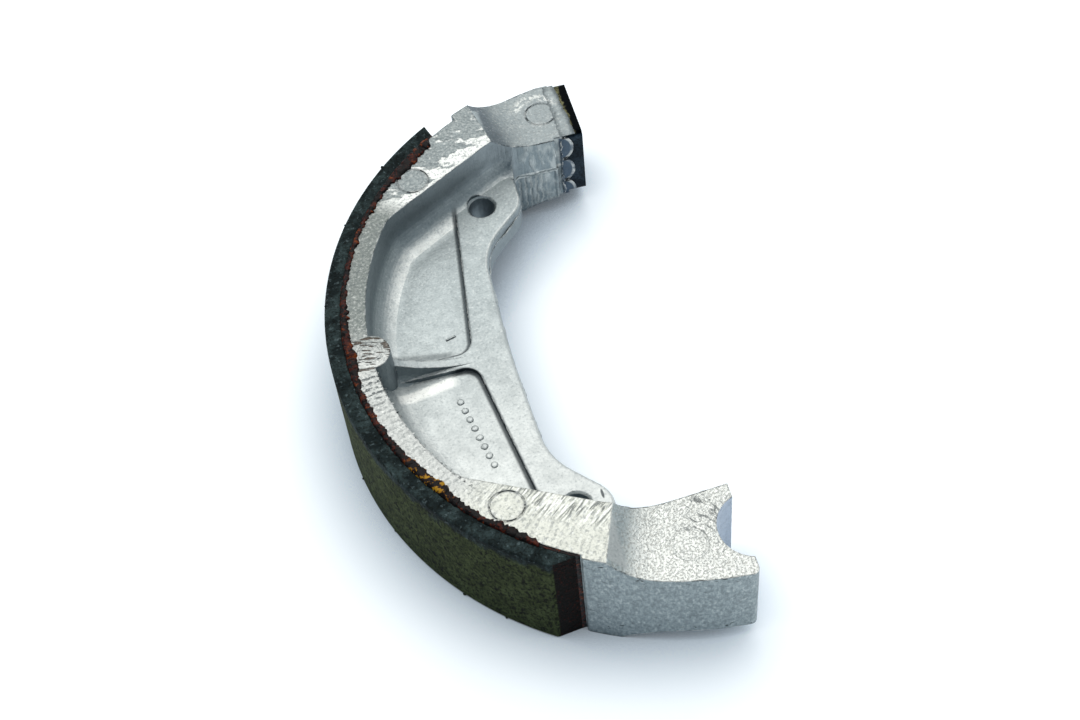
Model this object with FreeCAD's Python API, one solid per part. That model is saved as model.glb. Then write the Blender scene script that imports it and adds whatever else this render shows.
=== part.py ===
import FreeCAD, Part
import math
import os

# Brake shoe of a small motorcycle's drum brake: an aluminium die casting with a curved
# friction lining glued round its rim and a steel wear plate cast into its cam end.
# The origin lies on the drum's axis, in the plane of the shoe's lower side. +X runs through
# the middle of the lining, +Y towards the anchor pin end and +Z up along the drum's axis.
# Sizes are in millimetres and angles in degrees.

# Friction lining and the glue line under it
drum_radius = 65.0
lining_thickness = 3.1
lining_side_gap = 0.2
lining_bevel = 0.3
lining_anchor_end_angle = 54.9
lining_anchor_cut_angle = 7.0
lining_cam_end_angle = 56.4
lining_cam_cut_angle = 73.0
glue_thickness = 0.5
glue_side_gap = 0.1

# Rim, the curved table that carries the lining
rim_width = 24.4
rim_thickness = 4.1
anchor_seat_gap = 0.3
cam_seat_gap = 6.2
shoulder_radius = 0.5

# Cavities above and below the web, where the die halves reach in
cavity_turn_gap = 0.4
cavity_break_angle = 33.2
cavity_corner_radius = 8.0
cavity_mouth_rise = 1.0
root_radius = 5.5
draft_angle = 2.0

# Web, with a raised band along its hub side and two sunk pockets
band_width = 6.4
pocket_depth = 0.9
web_reach = 25.5
web_edge_radius = 220.0
neck_step = 1.0
neck_run = 9.8
neck_radius = 14.0
anchor_lug_reach = 8.8
cam_lug_reach = 10.2
lug_length = 9.1
lug_radius = 6.0
lug_root_radius = 1.5
pocket_inset = 7.0
pocket_lean = 7.5
pocket_rib_gap = 1.7
pocket_corner_radius = 3.0
band_edge_radius = 0.8
band_edge_stop = 3.3

# Holes for the return springs
spring_hole_radius = 2.6
spring_hole_inset = 2.1
spring_hole_run = 1.6
spring_hole_bevel = 0.4

# Middle rib, from the band out to the round boss on the rim
rib_start_gap = 0.2
rib_crest_rise = 7.2
rib_crest_half = 0.9
rib_foot_half = 1.7
rib_foot_flare = 3.4
rib_hollow = 0.34
boss_radius = 3.8
boss_setback = 0.2

# End blocks, narrower than the rim and joined to it by hollow ramps, longer on the lower side
upper_drop = 4.25
lower_drop = 3.4
upper_ramp_radius = 12.0
lower_ramp_radius = 21.0
step_foot_inset = 2.0
lower_foot_shift = 2.0

# Anchor end, which sits against the anchor pin
anchor_end_x = 3.3
anchor_shoulder = 0.7
anchor_block_depth = 17.5
anchor_hub_lean = 3.6
anchor_step_lean = 20.9
anchor_pin_radius = 6.5
anchor_pin_setback = 2.0
anchor_pin_rise = 7.9
horn_corner_radius = 1.2

# Cam end, with its wear plate
cam_face_x = 5.0
cam_shoulder = 1.3
cam_step_lean = 11.3
plate_thickness = 3.6
plate_length = 15.2
plate_end_drop = 1.0
plate_hub_step = 0.7
plate_corner_radius = 1.2
plate_land = 2.4
key_pitch = 6.2
key_depth = 1.6
key_top_gap = 0.4

# Round marks that the die's ejector pins leave on the upper side
ejector_radius = 3.2
ejector_line = 0.25
ejector_depth = 0.25
rim_ejector_angle = 43.9
rim_ejector_inset = 4.2
boss_ejector_radius = 2.2
anchor_ejector_inset = 9.7
anchor_ejector_rise = 8.6
cam_ejector_inset = 3.3

# How far the cutting shapes run past the solid, and how near an edge lies to where it is looked for
past = 10.0
near = 0.01

# Radii that follow from the drum's
lining_inner_r = drum_radius - lining_thickness
seat_r = lining_inner_r - glue_thickness
rim_inner_r = seat_r - rim_thickness
anchor_block_r = seat_r + anchor_shoulder
cam_block_r = seat_r + cam_shoulder
boss_centre_r = rim_inner_r + boss_setback

# Places along X that follow from the rim's inner side
web_edge_x = rim_inner_r - web_reach
neck_x = web_edge_x - neck_step
anchor_lug_x = neck_x - anchor_lug_reach
cam_lug_x = neck_x - cam_lug_reach
spring_hole_x = neck_x - spring_hole_inset
pocket_inner_x = web_edge_x + pocket_inset
rib_start_x = pocket_inner_x + rib_start_gap
step_foot_x = anchor_lug_x + step_foot_inset
cavity_turn_x = step_foot_x - cavity_turn_gap
plate_back_x = cam_face_x + plate_thickness
land_x = plate_back_x + plate_land

# Places along Y that follow from the end blocks
anchor_hub_y = anchor_block_r - anchor_block_depth
anchor_pin = (anchor_end_x - anchor_pin_setback, anchor_hub_y + anchor_pin_rise)
plate_end_y = cam_block_r - plate_end_drop
plate_start_y = plate_end_y - plate_length
cam_hub_y = plate_start_y - plate_hub_step
lug_shoulder_y = anchor_hub_y - lug_length
neck_y = lug_shoulder_y - neck_run
anchor_hub_far_y = anchor_hub_y - (anchor_lug_x + past) * math.tan(math.radians(anchor_hub_lean))
spring_hole_y = lug_shoulder_y + spring_hole_run

# Heights, up from the shoe's lower side
middle_z = rim_width / 2
band_top_z = middle_z + band_width / 2
block_top_z = rim_width - upper_drop
block_low_z = lower_drop
block_width = block_top_z - block_low_z


def at(x, y, z=0.0):
    return FreeCAD.Vector(x, y, z)


def polar(radius, angle):
    turn = math.radians(angle)
    return at(radius * math.cos(turn), radius * math.sin(turn))


def end_cut(angle, cut_angle):
    """Point on the drum's circle and direction of one end of the lining."""
    cut = math.radians(cut_angle)
    return polar(drum_radius, angle), at(math.cos(cut), math.sin(cut))


def seat_end(angle, cut_angle, gap):
    """Angle at which the lining's seat ends, a gap past the lining's inner corner."""
    corner, along = end_cut(angle, cut_angle)
    run = corner.dot(along)
    inner = corner - along * (run - math.sqrt(run ** 2 - drum_radius ** 2 + seat_r ** 2))
    return math.degrees(math.atan2(inner.y, inner.x) + gap / seat_r)


def rounded_wire(corners):
    """Closed outline through (x, y, radius) corners, each rounded by a tangent arc."""
    arcs = []
    for i, (x, y, radius) in enumerate(corners):
        corner = at(x, y)
        following = corners[(i + 1) % len(corners)]
        to_before = (at(*corners[i - 1][:2]) - corner).normalize()
        to_after = (at(*following[:2]) - corner).normalize()
        half = to_before.getAngle(to_after) / 2
        reach = radius / math.tan(half)
        depth = radius / math.sin(half) - radius
        middle = corner + (to_before + to_after).normalize() * depth
        arcs.append((corner + to_before * reach, middle, corner + to_after * reach))
    edges = []
    for i, (start, middle, end) in enumerate(arcs):
        if (end - start).Length > 1e-6:
            edges.append(Part.Arc(start, middle, end).toShape())
        next_start = arcs[(i + 1) % len(arcs)][0]
        if (next_start - end).Length > 1e-6:
            edges.append(Part.LineSegment(end, next_start).toShape())
    return Part.Wire(edges)


def prism(corners, z_low, z_high):
    """Upright solid over an outline of (x, y, radius) corners."""
    face = Part.Face(rounded_wire(corners))
    face.translate(at(0, 0, z_low))
    return face.extrude(at(0, 0, z_high - z_low))


def box(x_low, x_high, y_low, y_high, z_low, z_high):
    return Part.makeBox(x_high - x_low, y_high - y_low, z_high - z_low, at(x_low, y_low, z_low))


def disc(radius, z_low, z_high):
    return Part.makeCylinder(radius, z_high - z_low, at(0, 0, z_low))


def both_sides(shape):
    """The shape and its mirror image on the other side of the web's middle plane."""
    return [shape, shape.mirror(at(0, 0, middle_z), at(0, 0, 1))]


def plate_outline():
    """The wear plate as a plain slab with rounded corners."""
    slab = box(cam_face_x, plate_back_x, -plate_end_y, -plate_start_y,
               block_low_z, block_top_z)
    corners = [edge for edge in slab.Edges if abs(edge.tangentAt(edge.FirstParameter).x) > 0.9]
    return slab.makeFillet(plate_corner_radius, corners)


def plate_keys():
    """Shallow half-round keys of the casting that grip the back of the wear plate."""
    half_pitch = key_pitch / 2
    radius = (half_pitch ** 2 + key_depth ** 2) / (2 * key_depth)
    count = math.ceil((block_width - key_top_gap) / key_pitch)
    keys = []
    for i in range(count):
        z = block_top_z - key_top_gap - half_pitch - i * key_pitch
        start = at(plate_back_x - key_depth + radius, -plate_end_y, z)
        keys.append(Part.makeCylinder(radius, plate_length, start, at(0, 1, 0)))
    return keys[0].multiFuse(keys[1:]).common(plate_outline())


def hub_outline():
    """Outline of the open space on the hub side, round the web's edge and its two lugs."""
    corners = [(-past, anchor_hub_far_y, 0)]
    corners.append((anchor_lug_x, anchor_hub_y, lug_root_radius))
    corners.append((anchor_lug_x, lug_shoulder_y, lug_radius))
    corners.append((neck_x, neck_y, neck_radius))
    corners.append((web_edge_x, 0, web_edge_radius))
    corners.append((neck_x, -neck_y, neck_radius))
    corners.append((cam_lug_x, -lug_shoulder_y, lug_radius))
    corners.append((cam_lug_x, -cam_hub_y, lug_root_radius))
    corners.append((-past, -cam_hub_y, 0))
    return corners


def sector(radius, start_angle, end_angle):
    """Part of a disc about the drum's axis, at the rim's full width."""
    half_turn = math.radians(end_angle - start_angle) / 2
    far = (radius + past) / math.cos(half_turn)
    start = polar(far, start_angle)
    end = polar(far, end_angle)
    wedge = prism([(0, 0, 0), (start.x, start.y, 0), (end.x, end.y, 0)], 0, rim_width)
    return disc(radius, 0, rim_width).common(wedge)


def blank():
    """Rim, web and both ends at the rim's full width, before the cavities are made."""
    far = drum_radius + past
    anchor_seat_end = seat_end(lining_anchor_end_angle, lining_anchor_cut_angle, anchor_seat_gap)
    cam_seat_end = seat_end(lining_cam_end_angle, lining_cam_cut_angle, cam_seat_gap)
    rim = sector(seat_r, -cam_seat_end, anchor_seat_end)
    anchor_block = sector(anchor_block_r, anchor_seat_end, 90)
    anchor_block = anchor_block.common(box(anchor_end_x, far, 0, far, 0, rim_width))
    cam_block = sector(cam_block_r, -90, -cam_seat_end)
    cam_block = cam_block.common(box(land_x, far, -far, 0, 0, rim_width))
    land = box(plate_back_x, land_x, -plate_end_y, -plate_start_y, 0, rim_width)
    whole = rim.multiFuse([anchor_block, cam_block, land]).removeSplitter()
    whole = whole.cut(prism(hub_outline(), -past, rim_width + past))
    horn = []
    shoulders = []
    for edge in whole.Edges:
        foot = edge.Vertexes[0]
        radius = math.hypot(foot.X, foot.Y)
        angle = math.degrees(math.atan2(foot.Y, foot.X))
        if edge.BoundBox.ZLength < rim_width - near:
            continue
        if abs(foot.X - anchor_end_x) < near and foot.Y > anchor_pin[1]:
            horn.append(edge)
        at_seat_end = min(abs(angle - anchor_seat_end), abs(angle + cam_seat_end)) < near
        if at_seat_end and radius > seat_r + near:
            shoulders.append(edge)
    return whole.makeFillet(horn_corner_radius, horn).makeFillet(shoulder_radius, shoulders)


def drafted_prism(corners, z_low, z_high, inset):
    """Solid over a convex outline of (x, y) corners, smaller all round at its lower end."""
    high = [at(x, y, z_high) for x, y in corners]
    low = []
    for i, corner in enumerate(high):
        to_before = (high[i - 1] - corner).normalize()
        to_after = (high[(i + 1) % len(high)] - corner).normalize()
        half = to_before.getAngle(to_after) / 2
        inward = (to_before + to_after).normalize() * (inset / math.sin(half))
        low.append(corner + inward - at(0, 0, z_high - z_low))
    rings = [low[::-1], high]
    for i in range(len(high)):
        rings.append([low[i - 1], low[i], high[i], high[i - 1]])
    faces = [Part.Face(Part.makePolygon(ring + ring[:1])) for ring in rings]
    return Part.makeSolid(Part.makeShell(faces))


def cavity():
    """Space above the sunk panels: drafted walls along the rim and the end blocks, and a wide root."""
    turn_point = polar(rim_inner_r, cavity_break_angle)
    corners = []
    for side, hub_y, far_y in ((1, anchor_hub_y, anchor_hub_far_y), (-1, cam_hub_y, cam_hub_y)):
        foot = at(cavity_turn_x, side * hub_y)
        wall = at(turn_point.x, side * turn_point.y) - foot
        end = foot + wall.normalize() * drum_radius
        stretch = [(-past, side * far_y), (foot.x, foot.y), (end.x, end.y)]
        corners.extend(stretch[::-side])
    floor_z = band_top_z - pocket_depth
    top = rim_width + cavity_mouth_rise
    height = top - floor_z
    inset = height * math.tan(math.radians(draft_angle))
    walls = drafted_prism(corners, floor_z, top, inset)
    round_wall = Part.makeCone(rim_inner_r - inset, rim_inner_r, height, at(0, 0, floor_z))
    space = walls.common(round_wall)
    upright = [edge for edge in space.Edges if edge.BoundBox.ZLength > height / 2
               and edge.BoundBox.XMin > 0]
    space = space.makeFillet(cavity_corner_radius, upright)
    root = [edge for edge in space.Edges if edge.BoundBox.ZMax < floor_z + near]
    return space.makeFillet(root_radius, root)


def pocket_areas():
    """Upright solids over the two panels of the web, one each side of the middle rib."""
    far = drum_radius
    far_x = pocket_inner_x - (far - pocket_rib_gap) * math.tan(math.radians(pocket_lean))
    areas = []
    for side in (1, -1):
        corners = [(pocket_inner_x, side * pocket_rib_gap, pocket_corner_radius),
                   (far, side * pocket_rib_gap, 0), (far, side * far, 0), (far_x, side * far, 0)]
        areas.append(prism(corners, middle_z, rim_width + past))
    return areas


def hollows():
    """What the die takes out above the web: down to the band, and deeper over the panels."""
    deep = cavity()
    above_band = box(-past, drum_radius, -drum_radius, drum_radius, band_top_z, rim_width + past)
    return [deep.common(above_band)] + [area.common(deep) for area in pocket_areas()]


def rib():
    """Rib from the band up to the boss, taller and wider towards the rim."""
    foot_z = band_top_z - 2 * pocket_depth
    sections = []
    for step in (0, 1 / 3, 2 / 3, 1):
        share = step ** 2
        x = rib_start_x + step * (boss_centre_r - rib_start_x)
        crest_z = band_top_z + rib_crest_rise * share
        foot = rib_foot_half + rib_foot_flare * share
        inward = at(0, foot + rib_crest_half, crest_z - foot_z) / 2
        inward -= at(0, crest_z - foot_z, foot - rib_crest_half) * (rib_hollow / 2)
        left = [at(x, -foot, foot_z), at(x, -inward.y, foot_z + inward.z), at(x, -rib_crest_half, crest_z)]
        right = [at(x, -point.y, point.z) for point in left[::-1]]
        edges = [Part.Arc(*left).toShape(), Part.LineSegment(left[2], right[0]).toShape(),
                 Part.Arc(*right).toShape(), Part.LineSegment(right[2], left[0]).toShape()]
        sections.append(Part.Wire(edges))
    return Part.makeLoft(sections, True)


def boss():
    """Round boss on the rim's inner side, with draft, up to the rim's edge."""
    root_radius = boss_radius + middle_z * math.tan(math.radians(draft_angle))
    cone = Part.makeCone(root_radius, boss_radius, middle_z, at(boss_centre_r, 0, middle_z))
    return cone.common(disc(seat_r, 0, rim_width))


def ramp(foot, lean, drop, radius):
    """Space above an end block: a hollow ramp down from the rim's edge, then a flat, along -X."""
    reach = math.sqrt(2 * radius * drop - drop ** 2)
    half_turn = math.acos(1 - drop / radius) / 2
    far = drum_radius
    top = rim_width + past
    flat_z = rim_width - drop
    arc_middle = at(radius * math.sin(half_turn) - reach, 0,
                    flat_z + radius * (1 - math.cos(half_turn)))
    arc = Part.Arc(at(0, 0, rim_width), arc_middle, at(-reach, 0, flat_z)).toShape()
    rest = Part.makePolygon([at(-reach, 0, flat_z), at(-far, 0, flat_z),
                             at(-far, 0, top), at(0, 0, top), at(0, 0, rim_width)])
    face = Part.Face(Part.Wire([arc] + rest.Edges))
    side = at(0, rim_width)
    face.translate(-side)
    space = face.extrude(side + side)
    space.rotate(at(0, 0), at(0, 0, 1), lean)
    space.translate(foot)
    return space


def ramps(foot_y, lean):
    """The ramp spaces above and below one end block."""
    upper = ramp(at(step_foot_x, foot_y), lean, upper_drop, upper_ramp_radius)
    lower = ramp(at(step_foot_x - lower_foot_shift, foot_y), lean, lower_drop, lower_ramp_radius)
    return [upper, both_sides(lower)[1]]


def spring_hole(y):
    """Round hole through a lug, bevelled at both ends."""
    wide = spring_hole_radius + spring_hole_bevel
    bore = Part.makeCylinder(spring_hole_radius, band_width, at(0, 0, middle_z - band_width / 2))
    bevel = Part.makeCone(spring_hole_radius, wide, spring_hole_bevel,
                          at(0, 0, band_top_z - spring_hole_bevel))
    mouth = Part.makeCylinder(wide, root_radius, at(0, 0, band_top_z))
    hole = bore.multiFuse(both_sides(bevel) + both_sides(mouth))
    hole.translate(at(spring_hole_x, y))
    return hole


def ejector_mark(centre, surface_z, radius=ejector_radius):
    """Thin ring left round the end of an ejector pin."""
    foot = at(centre.x, centre.y, surface_z - ejector_depth)
    ring = Part.makeCylinder(radius, 2 * ejector_depth, foot)
    return ring.cut(Part.makeCylinder(radius - ejector_line, 2 * ejector_depth, foot))


def ejector_marks():
    marks = [ejector_mark(at(boss_centre_r, 0), rim_width, boss_ejector_radius)]
    for angle in (rim_ejector_angle, -rim_ejector_angle):
        marks.append(ejector_mark(polar(seat_r - rim_ejector_inset, angle), rim_width))
    anchor_centre = at(anchor_end_x + anchor_ejector_inset, anchor_hub_y + anchor_ejector_rise)
    marks.append(ejector_mark(anchor_centre, block_top_z))
    cam_centre = at(plate_back_x + cam_ejector_inset, -(plate_start_y + plate_end_y) / 2)
    marks.append(ejector_mark(cam_centre, block_top_z))
    return marks


def band_edge():
    """What rounds the web's hub-side edge, above and below, up to the end walls' roots."""
    slab = box(-past / 2, drum_radius / 2, -drum_radius, drum_radius, middle_z - band_width / 2, band_top_z)
    slab = slab.cut(prism(hub_outline(), 0, rim_width))
    outline = rounded_wire(hub_outline())
    edges = []
    for edge in slab.Edges:
        middle = edge.valueAt((edge.FirstParameter + edge.LastParameter) / 2)
        on_edge = outline.distToShape(Part.Vertex(at(middle.x, middle.y)))[0] < near
        if edge.BoundBox.ZLength < near and on_edge:
            edges.append(edge)
    trim = slab.cut(slab.makeFillet(band_edge_radius, edges))
    return trim.common(box(-past, drum_radius, band_edge_stop - cam_hub_y, anchor_hub_y - band_edge_stop,
                           0, rim_width))


def shoe_casting():
    spaces = [side for space in hollows() for side in both_sides(space)]
    casting = blank().cut(spaces)
    casting = casting.multiFuse(both_sides(rib()) + both_sides(boss()))
    cuts = ramps(anchor_hub_y, -anchor_step_lean) + ramps(-cam_hub_y, cam_step_lean)
    cuts.append(Part.makeCylinder(anchor_pin_radius, rim_width, at(*anchor_pin)))
    cuts.append(spring_hole(spring_hole_y))
    cuts.append(spring_hole(-spring_hole_y))
    cuts.append(band_edge())
    cuts.extend(ejector_marks())
    casting = casting.cut(cuts)
    return casting.fuse(plate_keys()).removeSplitter()


def lining_strip(inner_radius, outer_radius, side_gap):
    """Curved strip on the rim, cut obliquely at both ends."""
    high = rim_width - side_gap
    ring = disc(outer_radius, side_gap, high).cut(disc(inner_radius, side_gap, high))
    far = drum_radius + past
    corners = []
    for side, angle, cut_angle in ((-1, lining_cam_end_angle, lining_cam_cut_angle),
                                   (1, lining_anchor_end_angle, lining_anchor_cut_angle)):
        corner, along = end_cut(side * angle, side * cut_angle)
        inner = corner - along * (drum_radius / 2)
        outer = corner + along * (far - drum_radius / 2)
        stretch = [(inner.x, inner.y, 0), (outer.x, outer.y, 0), (2 * far, outer.y, 0)]
        corners.extend(stretch[::-side])
    return ring.common(prism(corners, 0, rim_width))


def friction_lining():
    strip = lining_strip(lining_inner_r, drum_radius, lining_side_gap)
    rubbing = [edge for edge in strip.Edges if abs(edge.BoundBox.XMax - drum_radius) < near
               and edge.BoundBox.ZLength < near]
    return strip.makeChamfer(lining_bevel, rubbing)


nodes = {
    "shoe_casting": shoe_casting(),
    "friction_lining": friction_lining(),
    "adhesive_layer": lining_strip(seat_r, lining_inner_r, glue_side_gap),
    "cam_wear_plate": plate_outline().cut(plate_keys()),
}

os.makedirs("parts", exist_ok=True)
for name, shape in nodes.items():
    shape.exportStep("parts/" + name + ".step")
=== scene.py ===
import functools
import math
import random
from types import SimpleNamespace
import bmesh
import bpy
from mathutils import Matrix, Vector, noise
from mathutils.bvhtree import BVHTree


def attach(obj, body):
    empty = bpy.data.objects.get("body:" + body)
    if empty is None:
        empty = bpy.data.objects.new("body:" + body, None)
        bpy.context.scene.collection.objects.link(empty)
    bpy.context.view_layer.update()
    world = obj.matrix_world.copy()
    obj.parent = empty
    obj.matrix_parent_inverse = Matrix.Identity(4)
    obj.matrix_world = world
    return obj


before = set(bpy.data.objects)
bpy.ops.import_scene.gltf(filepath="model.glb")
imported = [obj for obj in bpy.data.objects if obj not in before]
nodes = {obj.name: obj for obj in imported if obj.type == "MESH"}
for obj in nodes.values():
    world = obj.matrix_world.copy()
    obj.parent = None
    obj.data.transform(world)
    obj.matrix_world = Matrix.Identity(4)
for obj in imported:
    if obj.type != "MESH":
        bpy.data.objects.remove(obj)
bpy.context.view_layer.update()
mm = 0.001
print("frame loaded:", ", ".join(sorted(nodes)))

# where the shoe's own forms lie, in millimetres and degrees
shoe = {
    "drumR": 65.0,
    "liningInnerR": 61.9,
    "liningTopZ": 24.2,
    "seatR": 61.4,
    "rimInnerR": 57.3,
    "rimTopZ": 24.4,
    "middleZ": 12.2,
    "upperPadZ": 20.15,
    "pocketZ": 14.5,
    "pocketEdge": (38.8, 1.7, 7.5),  # where a sunk panel starts: x, y and how far its side leans
    "pocketCorner": 3.0,
    "anchorPin": (1.3, 52.5),
    "anchorHub": (22.0, 44.6),
    "anchorHubSlope": 0.0629,
    "anchorEndX": 3.3,
    "anchorR": 62.1,
    "camHubY": -45.8,
    "camR": 62.7,
    "plateBackX": 8.6,
    "keyX": 10.8,
    "keyR": 3.8,
    "keyTopZ": 19.75,
    "keyPitch": 6.2,
    "plateY": (-61.7, -46.5),
    "ringDeep": 0.25,
    "ringWide": 0.25,
}
# ejector marks: x, y, radius, height, and how much of the ring the skin has closed
ejectorMarks = (
    (41.2, 39.7, 3.2, 24.4, 0.50),
    (41.2, -39.7, 3.2, 24.4, 0.62),
    (13.0, 53.2, 3.2, 20.15, 1.0),
    (11.9, -54.1, 3.2, 20.15, 0.70),
    (57.5, 0.0, 2.2, 24.4, 1.0),
)


# camera: the photograph's own place and angle, closer in

cameraSet = {
    "place": (59.13, 205.04, 277.11),
    "aim": (26.64, 1.63, 12.2),
    "roll": -6.53,
    "lens": 59.2,
}


def makeCamera():
    place = Vector(cameraSet["place"]) * mm
    aim = Vector(cameraSet["aim"]) * mm
    data = bpy.data.cameras.new("camera")
    data.lens = cameraSet["lens"]
    data.sensor_width = 36
    data.clip_start = 0.01
    data.clip_end = 20
    camera = bpy.data.objects.new("camera", data)
    turn = (aim - place).to_track_quat("-Z", "Y").to_matrix().to_4x4()
    roll = Matrix.Rotation(math.radians(cameraSet["roll"]), 4, "Z")
    camera.matrix_world = Matrix.Translation(place) @ turn @ roll
    bpy.context.scene.collection.objects.link(camera)
    bpy.context.scene.camera = camera


makeCamera()
print("camera placed")


# nodes: a kind is written with its mode after it, such as "Math ADD"

modeOf = {"Math": "operation", "VectorMath": "operation", "MixRGB": "blend_type",
          "MapRange": "interpolation_type", "VectorRotate": "rotation_type"}
plus, minus, times = "Math ADD", "Math SUBTRACT", "Math MULTIPLY"
most, step = "Math MAXIMUM", "MapRange SMOOTHSTEP"
mix, grain = "MixRGB MIX", "TexNoise"


def linear(hexColor):
    # sRGB hex to the linear colour that a node wants
    values = [int(hexColor[i:i + 2], 16) / 255 for i in (1, 3, 5)]
    curved = [v / 12.92 if v <= 0.04045 else ((v + 0.055) / 1.055) ** 2.4 for v in values]
    return (*curved, 1.0)


def addNode(tree, kind, *inputs, **named):
    # one node: inputs in their order or by name, settings by name; it gives the first output in use
    kind, mode = (kind + " ").split(" ")[:2]
    node = tree.nodes.new("ShaderNode" + kind)
    if mode:
        setattr(node, modeOf[kind], mode)
    for name, value in [*enumerate(inputs), *named.items()]:
        if isinstance(name, str) and name not in node.inputs:
            setattr(node, name, value)
        elif isinstance(value, bpy.types.NodeSocket):
            tree.links.new(value, node.inputs[name])
        else:
            node.inputs[name].default_value = linear(value) if isinstance(value, str) else value
    return next((output for output in node.outputs if output.enabled), node)


def newMaterial(name):
    material = bpy.data.materials.new(name)
    material.use_nodes = True
    material.node_tree.nodes.clear()
    return material, functools.partial(addNode, material.node_tree)


def whereOnShoe(node):
    # a point's place in millimetres, its radius and angle about the drum's axis, and its face's direction
    place = node("VectorMath SCALE", node("TexCoord").node.outputs["Object"], Scale=1 / mm)
    x, y, z = node("SeparateXYZ", place).node.outputs
    level = node("CombineXYZ", x, y, 0.0)
    radius = node("VectorMath LENGTH", level)
    angle = node(times, node("Math ARCTAN2", y, x), 180 / math.pi)
    face = node("SeparateXYZ", node("NewGeometry").node.outputs["True Normal"]).node.outputs
    return SimpleNamespace(place=place, x=x, y=y, z=z, level=level, radius=radius, angle=angle,
                           faceY=face["Y"], faceZ=face["Z"])


def stretched(node, place, turn, stretch):
    # the place turned about Z and scaled, for marks that run one way
    turned = node("VectorRotate Z_AXIS", place, Angle=math.radians(turn))
    return node("VectorMath MULTIPLY", turned, stretch)


def between(node, value, rise, fall):
    # full between two soft edges, none outside them
    return node(times, node(step, value, *rise), node(step, value, *fall))


# gate scar: where the metal was poured in and the sprue broken off, combed upright inside a raised border;
# its sizes stand here because the casting's material marks it too

gate = {
    "x": (10.6, 20.9),
    "top": 12.4,
    "bottom": 4.2,
    "corner": 2.6,
    "pitch": 1.15,
    "comb": 0.14,
    "combFrom": 14.0,
    "border": 0.34,
    "rows": 34,
}


# die-cast aluminium: grey satin skin where the die left it, torn and bright where the sides were ground

cast = {
    "skin": "#DBDDDA",
    "skinShadedCam": "#BAC1C1",
    "skinDark": "#6F787B",
    "skinPale": "#F0F1EC",
    # painted shade: the grey of the upright faces
    "wall": "#8E979B",
    "rimCam": "#9BA2A2",
    "rimMid": "#8A8F8B",
    "rimBright": "#CFD0CC",
    "rimCream": "#DEDED4",
    # pale marks, and the painted highlights on edges, crests and roots
    "paleMarkAndHighlight": "#FAFAF5",
    "mark": "#5C6163",
    "speck": "#98948A",
    # dark nicks, and the painted shade in the gaps beside the plate
    "nickAndGapShade": "#2A2E30",
    "bossMark": "#463628",
    "padCam": "#A4ABAC",
    "padAnchor": "#F3F3ED",
    "rampCam": "#767F85",
    "rampAnchor": "#BEC6C6",
    "drumSide": "#9BA6A9",
    "hubFace": "#909B9F",
    "scallop": "#4F5D6B",
    "notch": "#A9B4C2",
    # painted shade in crevices, at the panels' step and at the cam side's roots; also the dark edges and
    # the lug's crack
    "shadeAndDarkMark": "#2C353A",
    "speckMm": 0.42,
    "fineMm": 0.5,
    "gritMm": 0.9,
    "mottleMm": 0.6,
    "nickMm": 0.9,
    "dragMm": 0.9,
    "pourMm": 1.2,
    "coarseMm": 1.8,
    "cloudMm": 8.0,
    "edgeMm": 0.4,
    "creviceMm": 2.4,
    "roughness": (0.44, 0.56),
}
# where its look changes, each pair a soft edge from none to full, in millimetres unless said otherwise
castEdges = {
    "wall": (0.62, 0.2),  # by how level the face lies
    "slopedFace": (0.35, 0.6),
    "levelFace": (0.85, 0.97),
    "hubFaceTurn": (0.7, 0.9),  # by how far the face turns to the hub
    "hubFaceY": (-43.0, -44.5),
    "hubFaceX": (23.0, 20.5),
    "rimHeight": (11.7, 11.95),  # heights count from the middle of the web
    "blockHeight": (7.5, 7.8),
    "padHeight": (11.2, 9.0),
    "webHeight": (7.4, 6.4),
    "blockX": (25.0, 24.0),
    "blockRadius": (60.9, 61.2),
    "drumSideRadius": (61.0, 61.3),
    "notchRadius": (6.9, 6.6),
    "anchorSide": (-3.0, 3.0),
    "towardsAnchor": (-22.0, 38.0),
    "flashX": (11.6, 11.2),
    "flashY": (-45.0, -46.0),
    "crest": ((0.66, 0.84), (0.992, 0.955)),
    "crestY": (-8.0, -24.0),
    "nickHeight": (5.5, 7.8),
}
# the ground side: its stretches by angle, and the two lines that its marks keep to
ground = {
    "sandyFrom": (-41.0, -34.0),
    "brightFrom": (-7.0, 2.0),
    "creamFrom": (33.0, 41.0),
    "sandShare": (34.0, -2.0, 0.12, 0.42),
    "glintShare": (-12.0, 6.0, 0.35, 0.85),
    "smearTo": (-33.0, -40.0),
    "smearMm": 1.4,
    "smearDeep": (6.5, 1.0),  # from the cavity's edge
    "camCorner": (21.1, -45.8, 0),
    "camOutward": (0.473, -0.881, 0),
    "toothed": ((4.0, 6.0), (15.0, 8.0, 0.42, 0.95)),
    "toothPitchMm": 1.25,
    "toothRadius": 59.5,
    "scratchFrom": (36.0, 44.0),
    "scratchDeep": (6.5, 2.5),  # from the lug's edge
    "lugCorner": (23.6, 44.6, 0),
    "lugOutward": (0.477, 0.879, 0),
    "boss": ((-5.0, -3.5), (5.0, 3.5)),
}
# tops of the end blocks: the torn ring by the cam end's ejector mark, and the gashes by the notch
block = {
    "ringMiddle": (12.6, -55.4, 0),
    "ringRadii": ((2.6, 3.4), (5.2, 4.0)),
    "ringY": (-55.0, -57.0),
    "gashMiddle": (9.5, 48.3, 0),
    "gashRadii": (5.2, 3.0),
}
# the cam end's hub side, from the gate to the plate's scallops
hub = {
    "dullFrom": (20.5, 18.0),
    "pours": ((8.8, 10.0), (19.5, 17.0)),
    "plateX": (10.2, 9.8),
    "scallopRim": (0.75, 0.45),
    "gapShadeX": (9.6, 9.1),
    "gapShadeZ": (2.35, 2.75),
}
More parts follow.
